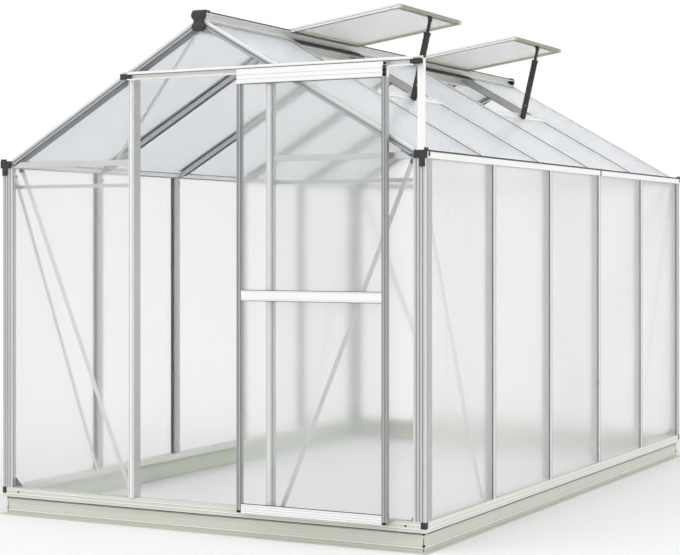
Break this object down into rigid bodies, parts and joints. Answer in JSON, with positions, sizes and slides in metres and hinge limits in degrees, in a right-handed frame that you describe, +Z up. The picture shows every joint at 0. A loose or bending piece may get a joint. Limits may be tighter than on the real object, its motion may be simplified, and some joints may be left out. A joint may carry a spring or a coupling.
{
  "type": "polycarbonate greenhouse",
  "caption": "Walk-in gabled garden greenhouse with an aluminium frame, twin-wall polycarbonate panes, a sliding front door, raised roof vents and a steel foundation frame.",
  "frame": {"origin": "on the ground under the middle of the aluminium frame", "axes": "+Z up, Y along the house with the door gable at -Y, +X to the right of someone facing the door"},
  "size_m": [1.92, 3.152, 2.0619],
  "materials": {
    "foundation_steel": "satin coated folded steel",
    "aluminium": "satin mill finish",
    "rafter_grey": "satin mill finish, in blue-grey shade",
    "black_plastic": "moulded",
    "stay_dark": "moulded, perforated",
    "polycarbonate": "translucent twin-wall sheet"
  },
  "bodies": {
    "frame": {"base_front": "foundation_steel", "base_back": "foundation_steel", "base_sides": "foundation_steel", "base_corner_plugs": "black_plastic", "sill_front": "aluminium", "sill_back": "aluminium", "sill_sides": "aluminium", "corner_posts_front": "aluminium", "corner_posts_back": "aluminium", "door_posts": "aluminium", "back_posts": "aluminium", "wall_bars_left": "aluminium", "wall_bars_right": "aluminium", "gutters": "aluminium", "gutter_end_caps": "black_plastic", "front_eave_bars": "aluminium", "front_tie_bars": "aluminium", "back_eave_bars": "aluminium", "door_header": "aluminium", "gable_braces": "aluminium", "side_braces": "aluminium", "roof_braces": "aluminium", "ridge_beam": "aluminium", "ridge_end_caps": "black_plastic", "front_rafters": "rafter_grey", "back_rafters": "aluminium", "roof_bars_left": "aluminium", "roof_bars_right": "aluminium", "vent_sills": "aluminium", "vent_frames": "aluminium", "vent_panes": "polycarbonate", "vent_stays": "stay_dark", "panes_left_wall": "polycarbonate", "panes_right_wall": "polycarbonate", "panes_front_wall": "polycarbonate", "panes_front_gable": "polycarbonate", "panes_back_wall": "polycarbonate", "panes_back_gable": "polycarbonate", "panes_roof_left": "polycarbonate", "panes_roof_right": "polycarbonate", "door_track": "aluminium", "door_track_caps": "black_plastic", "door_track_post": "aluminium"},
    "door": {"door_stiles": "aluminium", "door_top_rail": "aluminium", "door_rails": "aluminium", "door_panes": "polycarbonate", "door_rollers": "black_plastic"}
  },
  "joints": [
    {"name": "door_slide", "type": "slide", "parent": "frame", "child": "door", "axis": [1, 0, 0], "range_m": [-0.5, 0.12]}
  ]
}
